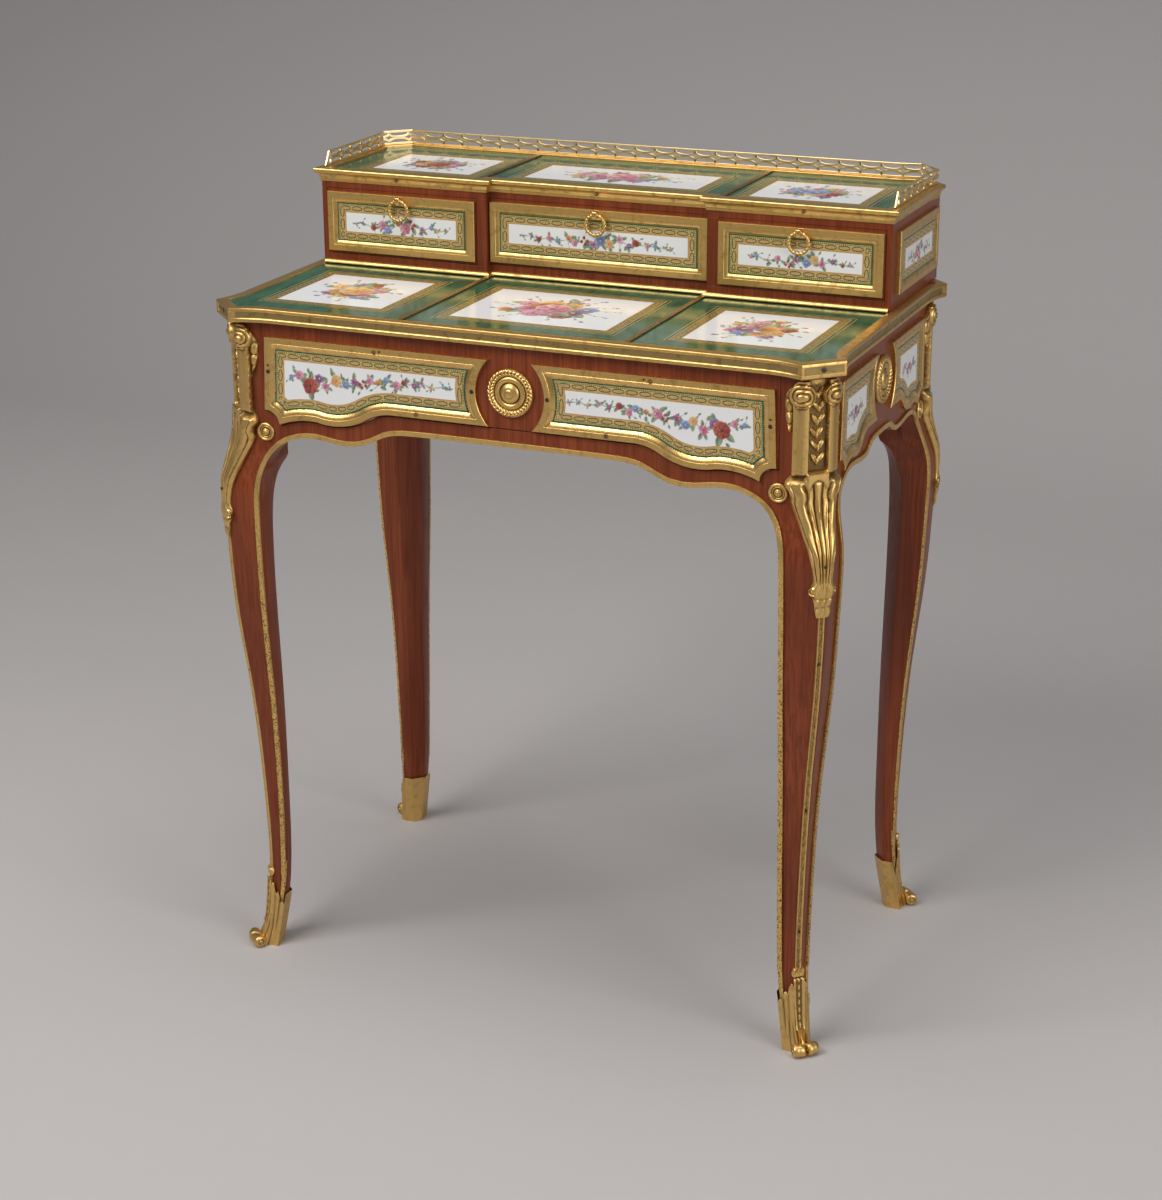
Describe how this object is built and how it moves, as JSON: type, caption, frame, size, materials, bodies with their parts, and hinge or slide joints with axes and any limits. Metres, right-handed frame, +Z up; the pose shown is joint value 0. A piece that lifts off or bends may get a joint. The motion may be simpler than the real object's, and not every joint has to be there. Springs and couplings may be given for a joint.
{
  "type": "bonheur du jour",
  "caption": "Small writing desk on cabriole legs with a frieze drawer and a low galleried case of drawers, veneered, with painted porcelain plaques and gilt bronze mounts.",
  "frame": {"origin": "floor level under the middle of the desk", "axes": "+X to the right as seen from the front, -Y towards the front, +Z up"},
  "size_m": [0.657, 0.406, 0.826],
  "materials": {
    "veneer": "reddish tulipwood veneer, waxed",
    "drawer_wood": "plain oak, unpolished",
    "gilt_bronze": "gilt bronze, partly burnished",
    "painted_porcelain": "white glazed porcelain with painted flowers and a green and gold border",
    "green_porcelain": "green ground porcelain with a white painted reserve",
    "silk_lining": "plain silk lining"
  },
  "bodies": {
    "desk": {"leg_front_right": "veneer", "leg_front_left": "veneer", "leg_back_right": "veneer", "leg_back_left": "veneer", "front_apron": "veneer", "back_panel": "veneer", "side_panel_right": "veneer", "side_panel_left": "veneer", "desk_top": "veneer", "case_floor": "veneer", "case_side_right": "veneer", "case_side_left": "veneer", "case_back": "veneer", "case_partitions": "veneer", "case_top": "veneer", "drawer_runners": "drawer_wood", "leg_corner_strips": "gilt_bronze", "knee_mounts": "gilt_bronze", "sabots": "gilt_bronze", "edging_front": "gilt_bronze", "edging_right": "gilt_bronze", "edging_back": "gilt_bronze", "edging_left": "gilt_bronze", "desk_rim": "gilt_bronze", "desk_bars": "gilt_bronze", "cornice": "gilt_bronze", "top_bars": "gilt_bronze", "gallery": "gilt_bronze", "side_frames": "gilt_bronze", "case_side_frames": "gilt_bronze", "side_rosettes": "gilt_bronze", "bosses": "gilt_bronze", "mount_screws": "gilt_bronze", "side_plaques": "painted_porcelain", "case_side_plaques": "painted_porcelain", "desk_plaque_right": "green_porcelain", "desk_plaque_left": "green_porcelain", "desk_plaque_middle": "green_porcelain", "top_plaques": "green_porcelain"},
    "frieze_drawer": {"frieze_drawer_front": "veneer", "frieze_drawer_box": "drawer_wood", "drawer_lining": "silk_lining", "frieze_frame_right": "gilt_bronze", "frieze_frame_left": "gilt_bronze", "frieze_plaque_right": "painted_porcelain", "frieze_plaque_left": "painted_porcelain", "frieze_rosette": "gilt_bronze", "frieze_screws": "gilt_bronze"},
    "left_drawer": {"left_drawer_box": "drawer_wood", "left_drawer_frame": "gilt_bronze", "left_drawer_plaque": "painted_porcelain"},
    "left_ring": {"left_pull_ring": "gilt_bronze"},
    "middle_drawer": {"middle_drawer_box": "drawer_wood", "middle_drawer_frame": "gilt_bronze", "middle_drawer_plaque": "painted_porcelain"},
    "middle_ring": {"middle_pull_ring": "gilt_bronze"},
    "right_drawer": {"right_drawer_box": "drawer_wood", "right_drawer_frame": "gilt_bronze", "right_drawer_plaque": "painted_porcelain"},
    "right_ring": {"right_pull_ring": "gilt_bronze"}
  },
  "joints": [
    {"name": "frieze_drawer_slide", "type": "slide", "parent": "desk", "child": "frieze_drawer", "axis": [0, -1, 0], "range_m": [0, 0.25]},
    {"name": "left_drawer_slide", "type": "slide", "parent": "desk", "child": "left_drawer", "axis": [0, -1, 0], "range_m": [0, 0.11]},
    {"name": "middle_drawer_slide", "type": "slide", "parent": "desk", "child": "middle_drawer", "axis": [0, -1, 0], "range_m": [0, 0.11]},
    {"name": "right_drawer_slide", "type": "slide", "parent": "desk", "child": "right_drawer", "axis": [0, -1, 0], "range_m": [0, 0.11]},
    {"name": "left_ring_hinge", "type": "hinge", "parent": "left_drawer", "child": "left_ring", "pos_m": [-0.2185, 0.0166, 0.7829], "axis": [-1, 0, 0], "range_deg": [0, 90]},
    {"name": "middle_ring_hinge", "type": "hinge", "parent": "middle_drawer", "child": "middle_ring", "pos_m": [0, 0.0248, 0.7829], "axis": [-1, 0, 0], "range_deg": [0, 90]},
    {"name": "right_ring_hinge", "type": "hinge", "parent": "right_drawer", "child": "right_ring", "pos_m": [0.2185, 0.0166, 0.7829], "axis": [-1, 0, 0], "range_deg": [0, 90]}
  ]
}
